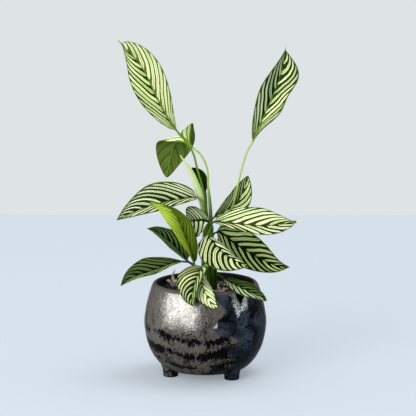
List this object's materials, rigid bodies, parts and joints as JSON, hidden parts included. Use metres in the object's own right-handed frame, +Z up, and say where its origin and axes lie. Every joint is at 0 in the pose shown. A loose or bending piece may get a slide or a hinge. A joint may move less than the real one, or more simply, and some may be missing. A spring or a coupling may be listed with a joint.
{
  "type": "potted houseplant",
  "caption": "Striped-leaf houseplant with long upright stalks, growing in a round dark glazed bowl pot that stands on short feet.",
  "frame": {"origin": "on the ground, under the middle of the overall box; the pot's axis stands 5.9 mm to -X and 7.3 mm to +Y of it", "axes": "+Z up the plant; the picture's viewer stands at -Y and looks along +Y; +X is the picture's right"},
  "size_m": [0.2604, 0.1866, 0.4726],
  "materials": {
    "glaze": "dark pewter-like glaze, glossy and mottled in wavy bands",
    "soil": "dark crumbly potting compost, matt",
    "striped_leaf": "satin leaf, dark green with pale yellow-green stripes",
    "new_leaf": "soft satin, bright yellow-green young leaf",
    "spear": "satin, whitish green rolled leaf",
    "sheath": "matt grey-green sheath",
    "dry": "dry pale brown-grey plant remains, matt"
  },
  "bodies": {
    "root": {"pot": "glaze", "soil": "soil", "leaf_tall_left": "striped_leaf", "leaf_folded": "striped_leaf", "leaf_tall_right": "striped_leaf", "leaf_upright_back": "striped_leaf", "leaf_big_right": "striped_leaf", "leaf_lower_right": "striped_leaf", "leaf_front": "striped_leaf", "leaf_front_low_left": "striped_leaf", "leaf_front_low_right": "striped_leaf", "leaf_low_left": "striped_leaf", "leaf_mid_left": "striped_leaf", "leaf_new": "new_leaf", "leaf_arching_left": "striped_leaf", "leaf_centre": "striped_leaf", "leaf_over_rim": "striped_leaf", "leaf_small_back": "striped_leaf", "spear": "spear", "sheath": "sheath", "dry_stub_left": "dry", "dry_stub_right": "dry"}
  },
  "joints": []
}
